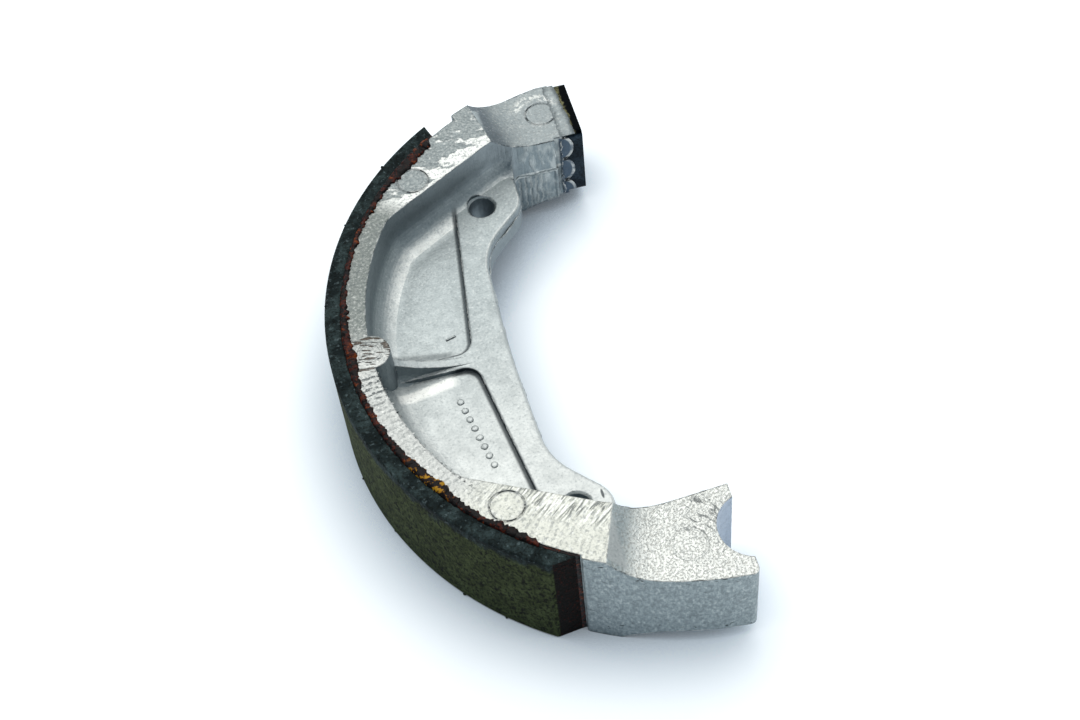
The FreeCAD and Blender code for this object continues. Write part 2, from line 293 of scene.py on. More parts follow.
# the step into the sunk panels with its painted shade, the roots beside the middle rib with their painted
# highlight and painted shade, and the crack at the anchor lug's corner
panel = {
    "foot": ((-0.45, 0.15), (1.15, 0.55)),
    "footHeight": (4.6, 3.2),
    "footRadius": (56.0, 52.0),
    "ribRun": 18.7,
    "ribFlare": 3.4,
    "anchorRootX": ((42.0, 44.5), (55.5, 53.5)),
    "paleRoot": ((-0.6, 0.1), (2.6, 1.5)),
    "ribFlank": (-1.8, -1.0),
    "camRootX": ((41.0, 44.0), (56.0, 53.0)),
    "rootShade": ((-0.9, -0.1), (1.5, 0.4)),
    "crack": (23.8, 36.1),
    "crackStretch": 4,
}
reliefMm = {"fine": 0.10, "coarse": 0.08, "grit": 0.22, "torn": 0.16, "smear": 0.10, "drag": 0.10,
            "pour": 0.10}


def castPatterns(node, at):
    # each from its real size; the finest grain is drawn at half a millimetre so that it shows
    at.fine = node(grain, at.place, Scale=1 / cast["fineMm"], Detail=3.0, Roughness=0.7)
    at.grit = node(grain, at.place, Scale=1 / cast["gritMm"], Detail=4.0, Roughness=0.7)
    at.coarse = node(grain, at.place, Scale=1 / cast["coarseMm"], Detail=3.0, Roughness=0.6)
    at.cloudy = node(grain, at.place, Scale=1 / cast["cloudMm"], Detail=2.0)


def castZones(node, at):
    # where each kind of surface is, from none to full
    at.flat = node("Math ABSOLUTE", at.faceZ)
    at.height = node("Math ABSOLUTE", node(minus, at.z, shoe["middleZ"]))
    at.anchorSide = node(step, at.y, *castEdges["anchorSide"])
    at.wall = node(step, at.flat, *castEdges["wall"])
    onRim = node(step, at.height, *castEdges["rimHeight"])
    at.onRim = node(times, node(step, at.flat, *castEdges["levelFace"]), onRim)
    inBlock = node(step, at.radius, *castEdges["blockRadius"])
    inBlock = node(most, node(step, at.x, *castEdges["blockX"]), inBlock)
    onBlock = node(step, at.height, *castEdges["blockHeight"])
    onBlock = node(times, node(step, at.flat, *castEdges["slopedFace"]), onBlock)
    at.onBlock = node(times, node(times, onBlock, inBlock), node(minus, 1.0, at.onRim))
    onPad = node(step, node(plus, at.height, node(times, at.coarse, 1.4)), *castEdges["padHeight"])
    at.onPad = node(times, onPad, at.onBlock)
    at.topFace = node(most, at.onRim, at.onPad)
    at.drumSide = node(times, at.wall, node(step, at.radius, *castEdges["drumSideRadius"]))
    pinAway = node("VectorMath DISTANCE", at.level, (*shoe["anchorPin"], 0))
    at.inNotch = node(times, at.wall, node(step, pinAway, *castEdges["notchRadius"]))
    hubFace = node(step, at.y, *castEdges["hubFaceY"])
    hubFace = node(times, node(step, at.faceY, *castEdges["hubFaceTurn"]), hubFace)
    at.hubFace = node(times, hubFace, node(step, at.x, *castEdges["hubFaceX"]))


def ejectorZones(node, at):
    # inside the ejector marks, on their open rings, and calm where the skin or the flash covers them
    at.inMark, at.onRing, at.calm = 0.0, 0.0, 0.0
    for markX, markY, markR, markZ, closed in ejectorMarks:
        away = node("VectorMath DISTANCE", at.level, (markX, markY, 0))
        at.inMark = node(most, at.inMark, node(step, away, markR + 0.1, markR - 0.5))
        ring = between(node, away, (markR - 0.5, markR - 0.2), (markR + 0.3, markR))
        if closed < 1:
            at.onRing = node(most, at.onRing, ring)
        else:
            at.calm = node(most, at.calm, node(step, away, markR + 0.6, markR + 0.5))
    byFlash = node(times, node(step, at.y, *castEdges["flashY"]), at.onPad)
    at.calm = node(most, at.calm, node(times, node(step, at.x, *castEdges["flashX"]), byFlash))


def groundSide(node, at):
    # the rim's side in four stretches: plain grey, sandy dark, bright with strokes, cream; its paling
    # towards the anchor end is partly painted light, partly the grinding's own marks
    color = node(mix, node(step, at.angle, *ground["sandyFrom"]), cast["rimCam"], cast["rimMid"])
    color = node(mix, node(step, at.angle, *ground["brightFrom"]), color, cast["rimBright"])
    color = node(mix, node(step, at.angle, *ground["creamFrom"]), color, cast["rimCream"])
    sandy = node(times, node(step, at.fine, 0.46, 0.68), node(step, at.angle, *ground["sandShare"]))
    color = node(mix, sandy, color, cast["mark"])
    glint = node(times, node(step, at.grit, 0.50, 0.72), node(step, at.angle, *ground["glintShare"]))
    color = node(mix, glint, color, cast["paleMarkAndHighlight"])
    return grindingStrokes(node, at, tornSmears(node, at, color))


def tornSmears(node, at, color):
    # torn white smears near the cam end, thickest along the cavity's edge
    fromCorner = node("VectorMath SUBTRACT", at.level, ground["camCorner"])
    fromEdge = node("VectorMath DOT_PRODUCT", fromCorner, ground["camOutward"])
    smear = node(grain, stretched(node, at.place, 10, (0.45, 1.0, 1.0)), Scale=1 / ground["smearMm"],
                 Detail=5.0, Distortion=0.25)
    smear = node(plus, smear, node(step, fromEdge, *ground["smearDeep"], 0.0, 0.27))
    smears = node(times, node(step, smear, 0.60, 0.68), node(step, at.angle, *ground["smearTo"]))
    at.smears = node(times, smears, node(minus, 1.0, at.inMark))
    grainy = node(times, at.smears, node(step, at.fine, 0.66, 0.46, 0.5, 1.0))
    return node(mix, grainy, color, cast["paleMarkAndHighlight"])


def grindingStrokes(node, at, color):
    # chatter teeth past the boss, scratches beside the anchor lug, bars on the boss
    along = node(times, at.angle, math.pi / 180 * ground["toothRadius"])
    wobbly = node(plus, along, node(times, at.coarse, 1.3))
    teeth = node("Math SINE", node(times, wobbly, 2 * math.pi / ground["toothPitchMm"]))
    toothShare = between(node, at.angle, *ground["toothed"])
    toothShare = node(times, toothShare, node(step, at.grit, 0.44, 0.62))
    toothed = node(times, node(step, teeth, 0.0, 0.7), toothShare)
    scratch = node(grain, stretched(node, at.place, -39, (0.26, 2.6, 0.2)), Scale=1.0, Detail=2.0)
    fromCorner = node("VectorMath SUBTRACT", at.level, ground["lugCorner"])
    fromLug = node("VectorMath DOT_PRODUCT", fromCorner, ground["lugOutward"])
    nearLug = node(step, fromLug, *ground["scratchDeep"])
    scratchShare = node(times, node(step, at.angle, *ground["scratchFrom"]), nearLug)
    scratchShare = node(times, scratchShare, node(minus, 1.0, at.inMark))
    scratched = node(times, node(step, scratch, 0.56, 0.62), node(times, scratchShare, 0.65))
    marks = node(most, toothed, scratched)
    color = node(mix, node(times, node(step, scratch, 0.47, 0.40), scratchShare), color, cast["paleMarkAndHighlight"])
    color = node(mix, marks, color, cast["mark"])
    bars = node(grain, stretched(node, at.place, 14, (0.42, 1.9, 0.3)), Scale=1.0, Detail=1.0)
    barred = node(times, node(step, bars, 0.57, 0.63), between(node, at.angle, *ground["boss"]))
    at.strokes = node(most, marks, barred)
    return node(mix, node(times, barred, 0.85), color, cast["bossMark"])


def blockTop(node, at):
    # pads and ramps of the end blocks: smooth grey by the plate, speckled cream by the anchor pin
    ramp = node(mix, at.anchorSide, cast["rampCam"], cast["rampAnchor"])
    pale = node(times, node(step, at.grit, 0.48, 0.66), node(times, at.anchorSide, 0.55))
    ramp = node(mix, pale, ramp, cast["paleMarkAndHighlight"])
    pad = node(mix, at.anchorSide, cast["padCam"], cast["padAnchor"])
    paleShare = node(step, at.y, *castEdges["anchorSide"], 0.22, 0.75)
    pad = node(mix, node(times, node(step, at.coarse, 0.50, 0.70), paleShare), pad, cast["paleMarkAndHighlight"])
    ringAway = node("VectorMath DISTANCE", at.level, block["ringMiddle"])
    crumbly = between(node, ringAway, *block["ringRadii"])
    crumbly = node(times, crumbly, node(step, at.y, *block["ringY"]))
    crumbly = node(times, crumbly, node(step, at.grit, 0.47, 0.55))
    pad = node(mix, node(times, crumbly, 0.75), pad, cast["paleMarkAndHighlight"])
    color = node(mix, at.onPad, ramp, pad)
    speckle = node(grain, at.place, Scale=1 / cast["speckMm"], Detail=2.0, Roughness=0.6)
    at.specked = node(times, node(step, speckle, 0.48, 0.64),
                      node(step, at.y, *castEdges["anchorSide"], 0.20, 0.45))
    color = node(mix, at.specked, color, cast["speck"])
    gashes = node(grain, stretched(node, at.place, 62, (0.35, 1.3, 0.3)), Scale=1.0, Detail=2.0,
                  Distortion=0.6)
    gashAway = node("VectorMath DISTANCE", at.level, block["gashMiddle"])
    gashed = node(times, node(step, gashes, 0.56, 0.61), node(step, gashAway, *block["gashRadii"]))
    return node(mix, node(times, gashed, 0.7), color, cast["mark"])


def camHubSide(node, at):
    # the cam end's hub side: dull skin with broad pale pours beside the gate and along the plate
    pour = node(grain, stretched(node, at.place, 0, (1.0, 1.0, 0.40)), Scale=1 / cast["pourMm"],
                Detail=4.0, Distortion=0.2)
    at.poured = node(times, between(node, at.x, *hub["pours"]), node(step, pour, 0.40, 0.70))
    color = node(mix, node(step, at.x, *hub["dullFrom"]), cast["wall"], cast["hubFace"])
    color = node(mix, node(times, at.poured, 0.34), color, cast["skinPale"])
    return besidePlate(node, at, gateMarks(node, at, color))


def gateMarks(node, at, color):
    # the gate's pale border, by the distance inside its outline, and its comb marks
    far, corner = gate["x"][1], gate["corner"]
    overX = node(most, node(plus, at.x, corner - far), 0.0)
    overZ = node(most, node(plus, at.z, corner - gate["top"]), 0.0)
    over = node("VectorMath LENGTH", node("CombineXYZ", overX, overZ, 0.0))
    inside = node(plus, node(minus, corner, over), node(times, at.coarse, 0.5))
    bordered = between(node, inside, (-0.05, 0.25), (1.0, 0.7))
    combX = node(step, at.x, gate["combFrom"] - 1, gate["combFrom"])
    combed = node(times, node(step, inside, 0.9, 1.3), combX)
    wobbly = node(plus, at.x, node(times, at.coarse, 1.4))
    wave = node("Math SINE", node(times, wobbly, 2 * math.pi / gate["pitch"]))
    color = node(mix, node(times, combed, 0.25), color, cast["skinDark"])
    combed = node(times, combed, node(step, wave, 0.1, 0.9, 0.0, 0.35))
    color = node(mix, combed, color, cast["skinPale"])
    bordered = node(times, bordered, node(step, at.grit, 0.38, 0.56, 0.2, 0.7))
    return node(mix, bordered, color, cast["skinPale"])


def besidePlate(node, at, color):
    # beside the plate: bluish scallops with pale rims, and painted shade, near black, in the gaps between
    # them
    keyZ = node("Math MODULO", node(minus, shoe["keyTopZ"], at.z), shoe["keyPitch"])
    keyZ = node(minus, keyZ, shoe["keyPitch"] / 2)
    keyAway = node("VectorMath LENGTH", node("CombineXYZ", node(minus, at.x, shoe["keyX"]), keyZ, 0.0))
    byPlate = node(step, at.x, *hub["plateX"])
    color = node(mix, byPlate, color, cast["scallop"])
    rimFrom, rimTo = hub["scallopRim"]
    rimmed = node(times, node(step, keyAway, shoe["keyR"] - rimFrom, shoe["keyR"] - rimTo), byPlate)
    rimmed = node(times, rimmed, node(step, at.coarse, 0.35, 0.6, 0.1, 0.6))
    color = node(mix, rimmed, color, cast["skinPale"])
    # painted shade in the gaps between the scallops
    gapShade = node(step, node("Math ABSOLUTE", keyZ), *hub["gapShadeZ"])
    gapShade = node(times, gapShade, node(step, at.x, *hub["gapShadeX"]))
    return node(mix, node(times, gapShade, byPlate), color, cast["nickAndGapShade"])


def panelStep(node, at):
    # the step down into the sunk panels, by the distance from their outline, with painted shade along its
    # foot, and the roots beside the rib: painted highlight on the anchor side, painted shade on the cam
    # side
    edgeX, edgeY, lean = shoe["pocketEdge"]
    corner = shoe["pocketCorner"]
    apartY = node(minus, node("Math ABSOLUTE", at.y), edgeY)
    apartX = node(plus, node(minus, at.x, edgeX), node(times, apartY, math.tan(math.radians(lean))))
    cornerX = node(most, node(minus, corner, apartX), 0.0)
    cornerY = node(most, node(minus, corner, apartY), 0.0)
    corners = node("VectorMath LENGTH", node("CombineXYZ", cornerX, cornerY, 0.0))
    inPanel = node(plus, node(minus, corner, corners), node(times, at.coarse, 0.25))
    # painted shade: a dark line along the foot of the step
    foot = between(node, inPanel, *panel["foot"])
    foot = node(times, foot, node(step, at.height, *panel["footHeight"]))
    foot = node(times, foot, node(step, at.radius, *panel["footRadius"]))

    ribShare = node(times, node(minus, at.x, edgeX), 1 / panel["ribRun"])
    besideRib = node(minus, apartY, node(times, ribShare, panel["ribFlare"]))
    byRib = node(times, between(node, at.x, *panel["anchorRootX"]), at.anchorSide)
    # painted highlight on the anchor side's roots beside the rib
    at.paleRoot = node(times, byRib, between(node, besideRib, *panel["paleRoot"]))
    at.ribFlank = node(times, byRib, node(step, besideRib, *panel["ribFlank"], 0.0, 0.9))
    foot = node(times, foot, node(minus, 1.0, byRib))
    byRib = node(times, between(node, at.x, *panel["camRootX"]), node(minus, 1.0, at.anchorSide))
    # painted shade on the cam side's roots beside the rib
    rootShade = node(times, byRib, between(node, besideRib, *panel["rootShade"]))
    at.foot = node(most, foot, node(times, rootShade, 0.6))


def crestHighlight(node, at):
    # painted highlight on the web's rounded edge and the band's, most of all towards the cam end
    crest = between(node, at.flat, *castEdges["crest"])
    crest = node(times, crest, node(step, at.height, *castEdges["webHeight"]))
    crest = node(times, crest, node(step, at.grit, 0.30, 0.60, 0.35, 0.95))
    return node(times, crest, node(step, at.y, *castEdges["crestY"], 0.25, 0.75))


def lugCrack(node, at):
    # a short crack at the anchor lug's corner
    crackX, crackY = panel["crack"]
    stretch = panel["crackStretch"]
    squeezed = stretched(node, at.level, 0, (stretch, 1, 1))
    away = node("VectorMath DISTANCE", squeezed, (stretch * crackX, crackY, 0))
    return node(times, node(step, away, 1.2, 0.8), node(step, at.height, *castEdges["webHeight"]))


def drumSideSkin(node, at):
    # mottled skin of the end blocks' drum sides, with dark nicks, most of them near the edges
    mottle = node(grain, stretched(node, at.place, 0, (1.0, 1.0, 0.6)), Scale=1 / cast["mottleMm"],
                  Detail=4.0, Roughness=0.7)
    color = node(mix, node(step, mottle, 0.42, 0.64, 0.0, 0.60), cast["drumSide"], cast["skinDark"])
    color = node(mix, node(step, mottle, 0.46, 0.32, 0.0, 0.30), color, cast["skinPale"])
    nicks = node(grain, stretched(node, at.place, 0, (0.5, 0.5, 1.1)), Scale=1 / cast["nickMm"],
                 Detail=2.0, Distortion=0.8)
    nearEdge = node(step, at.height, *castEdges["nickHeight"], 0.30, 0.9)
    return node(mix, node(times, node(step, nicks, 0.66, 0.70), nearEdge), color, cast["nickAndGapShade"])


def castColor(node, at):
    # colour, surface by surface; the marks that are laid on the way are kept for the relief
    # painted shade: the skin is darker towards the cam end
    color = node(mix, node(step, at.y, *castEdges["towardsAnchor"]), cast["skinShadedCam"], cast["skin"])
    color = node(mix, node(step, at.cloudy, 0.35, 0.65, 0.0, 0.15), color, cast["skinDark"])
    # painted highlight on the web's crests and on the anchor side's roots
    color = node(mix, node(most, crestHighlight(node, at), at.paleRoot), color, cast["paleMarkAndHighlight"])
    # painted shade: upright faces get a darker grey than the level skin
    color = node(mix, at.wall, color, cast["wall"])
    color = node(mix, at.hubFace, color, camHubSide(node, at))
    color = node(mix, at.drumSide, color, drumSideSkin(node, at))
    color = node(mix, at.inNotch, color, cast["notch"])
    color = node(mix, at.onBlock, color, blockTop(node, at))
    color = node(mix, at.onRim, color, groundSide(node, at))
    ring = node(times, node(times, at.onRing, at.topFace), node(step, at.coarse, 0.42, 0.60, 0.0, 0.5))
    color = node(mix, ring, color, cast["mark"])
    grained = node(times, node(step, at.fine, 0.50, 0.74, 0.0, 0.40), node(minus, 1.0, at.drumSide))
    color = node(mix, grained, color, cast["skinDark"])
    paler = node(times, node(step, at.fine, 0.46, 0.28, 0.0, 0.45), node(minus, 1.0, at.wall))
    color = node(mix, paler, color, cast["skinPale"])
    # painted shade along the panels' step and the cam side's roots, and the anchor lug's crack, in one dark
    # colour
    return node(mix, node(times, node(most, at.foot, lugCrack(node, at)), 0.80), color, cast["shadeAndDarkMark"])


def paintedShadeAndEdges(node, at, color):
    # painted shade darkens the crevices, less on the top faces; edges get painted highlights in some
    # stretches and are dark in others
    clear = node("AmbientOcclusion", Distance=cast["creviceMm"] * mm, samples=8).node.outputs["AO"]
    # painted shade: ambient occlusion darkens crevices and recesses, less on the top faces
    creviceShade = node(times, node(step, clear, 0.78, 0.28), node(minus, 0.8, node(times, at.topFace, 0.72)))
    clean = node(most, node(most, at.ribFlank, at.calm), node(times, at.hubFace, 0.9))
    color = node(mix, node(times, creviceShade, node(minus, 1.0, clean)), color, cast["shadeAndDarkMark"])
    turn = node("VectorMath DOT_PRODUCT", at.softened, node("NewGeometry").node.outputs["Normal"])
    edge = node(times, node(step, turn, 0.985, 0.90), node(step, clear, 0.5, 0.8))
    edge = node(times, edge, node(minus, 1.0, at.calm))
    # painted highlight: convex edges, found by the bevelled normal, are lightened in some stretches
    edgeHighlight = node(times, edge, node(step, at.coarse, 0.50, 0.60, 0.0, 0.8))
    color = node(mix, edgeHighlight, color, cast["paleMarkAndHighlight"])
    dark = node(times, edge, node(step, at.coarse, 0.50, 0.42, 0.0, 0.9))
    return node(mix, dark, color, cast["shadeAndDarkMark"])


def castRelief(node, at):
    # satin grain, torn marks, mottled drum side, drag marks down the walls
    drag = node(grain, stretched(node, at.place, 0, (1.6, 1.6, 0.12)), Scale=1 / cast["dragMm"],
                Detail=2.0)
    drag = node(times, drag, node(minus, at.wall, at.drumSide))
    torn = node(times, node(most, at.strokes, node(times, at.specked, at.onPad)), at.topFace)
    rough = node(plus, node(times, at.onPad, at.anchorSide), node(most, at.onRim, at.drumSide))
    relief = node(plus, node(times, at.fine, reliefMm["fine"]), node(times, at.coarse, reliefMm["coarse"]))
    relief = node(plus, relief, node(times, node(times, at.grit, rough), reliefMm["grit"]))
    relief = node(minus, relief, node(times, torn, reliefMm["torn"]))
    relief = node(plus, relief, node(times, node(times, at.smears, at.onRim), reliefMm["smear"]))
    relief = node(plus, relief, node(times, drag, reliefMm["drag"]))
    return node(plus, relief, node(times, node(times, at.poured, at.hubFace), reliefMm["pour"]))


def castAluminium():
    material, node = newMaterial("dieCastAluminium")
    at = whereOnShoe(node)
    at.softened = node("Bevel", cast["edgeMm"] * mm, samples=4)
    castPatterns(node, at)
    castZones(node, at)
    ejectorZones(node, at)
    panelStep(node, at)
    color = paintedShadeAndEdges(node, at, castColor(node, at))
    bump = node("Bump", Height=castRelief(node, at), Distance=mm, Strength=0.8, Normal=at.softened)
    roughness = node(step, at.coarse, 0.3, 0.7, *cast["roughness"])
    surface = node("BsdfPrincipled", color, 1.0, roughness, Normal=bump)
    node("OutputMaterial", surface)
    return material


# moulded friction compound: matt, dark olive where it was ground to size, nearly black where it was cut

lining = {
    "rubbing": "#3D4629",
    "rubbingPale": "#505A39",
    "rubbingGrain": "#6A7350",
    "rubbingDark": "#12160F",
    "slate": "#1A2425",
    "slatePale": "#3C4A4A",
    "speck": "#6E7D7F",
    "cut": "#0B0806",
    "cutRed": "#38160F",
    "cutPit": "#030202",
    "grainMm": 0.55,  # the fibres are finer, and drawn this coarse so that they show
    "crumbMm": 0.9,
    "pitMm": 1.1,
    "cloudMm": 3.5,
    "faceRadius": (64.45, 64.65),
    "overEdgeZ": (24.6, 26.2),
    "gloss": 0.15,  # porous, so it shines less than solid resin
    "roughness": 0.85,
}


def frictionCompound():
    material, node = newMaterial("mouldedFrictionCompound")
    at = whereOnShoe(node)
    onSide = node(step, node("Math ABSOLUTE", at.faceZ), 0.3, 0.6)
    onFace = node(times, node(step, at.radius, *lining["faceRadius"]), node(minus, 1.0, onSide))
    tall = node("VectorMath MULTIPLY", at.place, (1.0, 1.0, 0.75))
    specks = node(grain, tall, Scale=1 / lining["grainMm"], Detail=3.0, Roughness=0.7)
    crumbs = node(grain, at.place, Scale=1 / lining["crumbMm"], Detail=4.0, Roughness=0.7)
    crumbs = node(step, crumbs, 0.56, 0.68)
    pits = node(grain, tall, Scale=1 / lining["pitMm"], Detail=3.0, Roughness=0.65, Distortion=0.6)
    pits = node(step, pits, 0.57, 0.66)
    clouds = node(grain, at.place, Scale=1 / lining["cloudMm"], Detail=3.0, Roughness=0.6)

    face = node(mix, node(step, clouds, 0.38, 0.66), lining["rubbing"], lining["rubbingPale"])
    face = node(mix, node(step, specks, 0.46, 0.62, 0.0, 0.85), face, lining["rubbingDark"])
    face = node(mix, node(step, specks, 0.42, 0.28, 0.0, 0.5), face, lining["rubbingGrain"])
    face = node(mix, node(times, pits, 0.9), face, lining["rubbingDark"])
    side = node(mix, node(step, clouds, 0.40, 0.66), lining["slate"], lining["slatePale"])
    side = node(mix, node(step, specks, 0.44, 0.66, 0.0, 0.7), side, lining["rubbingDark"])
    side = node(mix, node(times, crumbs, 0.55), side, lining["speck"])
    cut = node(mix, node(step, specks, 0.52, 0.66), lining["cut"], lining["cutRed"])
    cut = node(mix, node(times, pits, 0.85), cut, lining["cutPit"])

    # the dark skin of the side runs a little way over the edge onto the rubbing face
    rise = node(plus, node(plus, at.z, node(times, clouds, 5.0)), node(times, specks, 1.5))
    face = node(mix, node(step, rise, *lining["overEdgeZ"]), face, side)
    color = node(mix, onSide, node(mix, onFace, cut, face), side)
    relief = node(plus, node(times, specks, 0.36), node(times, clouds, 0.25))
    relief = node(minus, relief, node(times, pits, 0.25))
    bump = node("Bump", Height=relief, Distance=mm, Strength=0.9)
    surface = node("BsdfPrincipled", color, 0.0, lining["roughness"], 1.5, Normal=bump,
                   **{"Specular IOR Level": lining["gloss"]})
    node("OutputMaterial", surface)
    return material


# baked phenolic glue: nearly black with red brown and amber lumps, slightly glossy

glue = {
    "black": "#0A0302",
    "brown": "#4A1505",
    "rust": "#7E3A0A",
    "amber": "#C8941A",
    "lumpMm": 1.1,
    "cloudMm": 2.6,
    "amberAngles": ((24.0, 28.0), (37.0, 32.0)),
    "gloss": 0.2,
    "roughness": 0.40,
}


def bakedGlue():
    material, node = newMaterial("bakedGlue")
    at = whereOnShoe(node)
    spots = node(grain, at.place, Scale=1 / glue["lumpMm"], Detail=3.0, Roughness=0.65)
    clouds = node(grain, at.place, Scale=1 / glue["cloudMm"], Detail=2.0, Roughness=0.6)
    color = node(mix, node(step, spots, 0.47, 0.60), glue["black"], glue["brown"])
    rusty = node(step, node(plus, spots, node(times, clouds, 0.4)), 0.79, 0.90)
    color = node(mix, rusty, color, glue["rust"])
    yellow = node(times, between(node, at.angle, *glue["amberAngles"]), node(step, spots, 0.53, 0.60))
    color = node(mix, node(times, yellow, 0.85), color, glue["amber"])
    bump = node("Bump", Height=node(times, spots, 0.35), Distance=mm, Strength=0.9)
    surface = node("BsdfPrincipled", color, 0.0, glue["roughness"], 1.5, Normal=bump,
                   **{"Specular IOR Level": glue["gloss"]})
    node("OutputMaterial", surface)
    return material


# hardened steel plate: blue black satin where the cam rubs, an oily brown skin beside the casting

plate = {
    "steel": "#1A2229",
    "pale": "#2C3842",
    "dark": "#040608",
    "oil": "#6A684C",
    "oilDark": "#2E2D22",
    "grainMm": 0.5,  # the satin grain is finer, and drawn this coarse so that it shows
    "cloudMm": 2.5,
    "oilX": (7.45, 7.75),
    "roughness": 0.38,
}


def hardenedSteel():
    material, node = newMaterial("hardenedSteel")
    at = whereOnShoe(node)
    fine = node(grain, at.place, Scale=1 / plate["grainMm"], Detail=3.0, Roughness=0.6)
    clouds = node(grain, at.place, Scale=1 / plate["cloudMm"], Detail=3.0)
    onTop = node(step, at.faceZ, 0.5, 0.8)
    color = node(mix, node(step, clouds, 0.35, 0.7), plate["steel"], plate["pale"])
    color = node(mix, node(step, fine, 0.4, 0.65, 0.0, 0.6), color, plate["dark"])
    oil = node(mix, node(step, fine, 0.40, 0.62), plate["oil"], plate["oilDark"])
    oily = node(step, node(plus, at.x, node(times, clouds, 2.4)), *plate["oilX"])
    color = node(mix, onTop, color, node(mix, oily, plate["dark"], oil))
    bump = node("Bump", Height=node(times, fine, 0.08), Distance=mm, Strength=0.7)
    surface = node("BsdfPrincipled", color, 1.0, plate["roughness"], Normal=bump)
    node("OutputMaterial", surface)
    return material


finishes = {
    "shoe_casting": ("cast_aluminium", castAluminium()),
    "friction_lining": ("friction_compound", frictionCompound()),
    "adhesive_layer": ("bonding_glue", bakedGlue()),
    "cam_wear_plate": ("plate_steel", hardenedSteel()),
}
materialOf = {}
for name, (slotName, material) in finishes.items():
    nodes[name].data.materials[0] = material
    materialOf[slotName] = material
print("materials on the cast and bonded pieces")


# pieces in mesh code

def addSkin(mesh, rings):
    # skin over rings of points in millimetres, each with the same count, closed at both ends
    made = [[mesh.verts.new(Vector(point) * mm) for point in ring] for ring in rings]
    count = len(made[0])
    for one, two in zip(made, made[1:]):
        for i in range(count):
            j = (i + 1) % count
            mesh.faces.new((one[i], one[j], two[j], two[i]))
    mesh.faces.new(made[0][::-1])
    mesh.faces.new(made[-1])


def addPiece(name, mesh, slotName, smooth=True):
    bmesh.ops.recalc_face_normals(mesh, faces=mesh.faces)
    for face in mesh.faces:
        face.smooth = smooth
    data = bpy.data.meshes.new(name)
    mesh.to_mesh(data)
    mesh.free()
    data.materials.append(materialOf[slotName])
    piece = bpy.data.objects.new(name, data)
    bpy.context.scene.collection.objects.link(piece)
    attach(piece, "root")
    return piece


def skinPiece(name, rings, slotName):
    mesh = bmesh.new()
    addSkin(mesh, rings)
    return addPiece(name, mesh, slotName)


def ripple(value, seed, sizeMm=1.0):
    # smooth noise along a line, from -1 to 1
    return noise.noise(Vector((value / sizeMm, seed * 7.31, 0.5)))


def polar(radius, degrees, z):
    turn = math.radians(degrees)
    return (radius * math.cos(turn), radius * math.sin(turn), z)


def spaced(start, end, pitch):
    count = max(2, int(abs(end - start) / pitch))
    return [start + (end - start) * i / count for i in range(count + 1)]


# the casting's own surface in millimetres, which the burrs, the ridge and the gate lie on
castData = nodes["shoe_casting"].data
castTree = BVHTree.FromPolygons([v.co / mm for v in castData.vertices],
                                [tuple(p.vertices) for p in castData.polygons])


# glue squeezed out along the lining's inner edge, in lumps, wider in some stretches

glueBead = {
    "ends": (-54.3, 52.2),
    "stepDegrees": 0.22,
    "width": 0.55,
    # angle, spread and extra width of each wider stretch
    "wideAt": ((-52, 6, 1.0), (-45, 4, 0.9), (-36, 3, 0.3), (-9, 3, 0.5), (0, 4.5, 0.9), (27, 4, 0.7),
               (33, 3.0, 1.0), (46, 4, 0.35)),
    "lump": 0.42,
    "rise": 0.46,
}


def makeGlueBead(name, upper):
    rings = []
    start, end = glueBead["ends"]
    seed = 1.0 if upper else 2.0
    rimZ = shoe["rimTopZ"] if upper else 0.0
    liningZ = shoe["liningTopZ"] if upper else shoe["rimTopZ"] - shoe["liningTopZ"]
    out = 1 if upper else -1
    for angle in spaced(start, end, glueBead["stepDegrees"]):
        arc = math.radians(angle) * shoe["seatR"]
        wide = glueBead["width"]
        for middle, spread, extra in glueBead["wideAt"]:
            wide += extra * math.exp(-((angle - middle) / spread) ** 2)
        wide += glueBead["lump"] * (ripple(arc, seed, 1.1) + 0.9 * ripple(arc, seed + 3, 0.45))
        fade = min(1.0, (angle - start) / 1.2 + 0.15, (end - angle) / 1.2 + 0.15)
        wide = max(0.18, wide * fade)
        rise = glueBead["rise"] * (0.5 + 0.35 * wide) * fade * (1 + 0.9 * ripple(arc, seed + 5, 0.5))
        rise = max(0.1, rise)
        outer = shoe["liningInnerR"] + 0.16 + 0.14 * ripple(arc, seed + 7, 0.8)
        inner = shoe["seatR"] - wide
        middle = shoe["seatR"] - (0.25 + 0.2 * ripple(arc, seed + 9, 0.6)) * wide
        profile = [(outer, liningZ - out * 0.05), (outer, liningZ + out * 0.10),
                   (shoe["liningInnerR"] - 0.15, rimZ + out * rise * 0.75), (middle, rimZ + out * rise),
                   (0.45 * middle + 0.55 * inner, rimZ + out * rise * 0.8),
                   (inner + 0.06, rimZ + out * rise * 0.35), (inner, rimZ - out * 0.03),
                   (shoe["seatR"], rimZ - out * 0.06)]
        rings.append([polar(radius, angle, z) for radius, z in profile])
    skinPiece(name, rings, "bonding_glue")


makeGlueBead("glue_bead_upper", True)
makeGlueBead("glue_bead_lower", False)
print("glue beads made")


# flash and burrs of the casting: irregular, tiny, along its edges

burr = {"sides": 5, "radius": 0.07, "lump": 0.16}


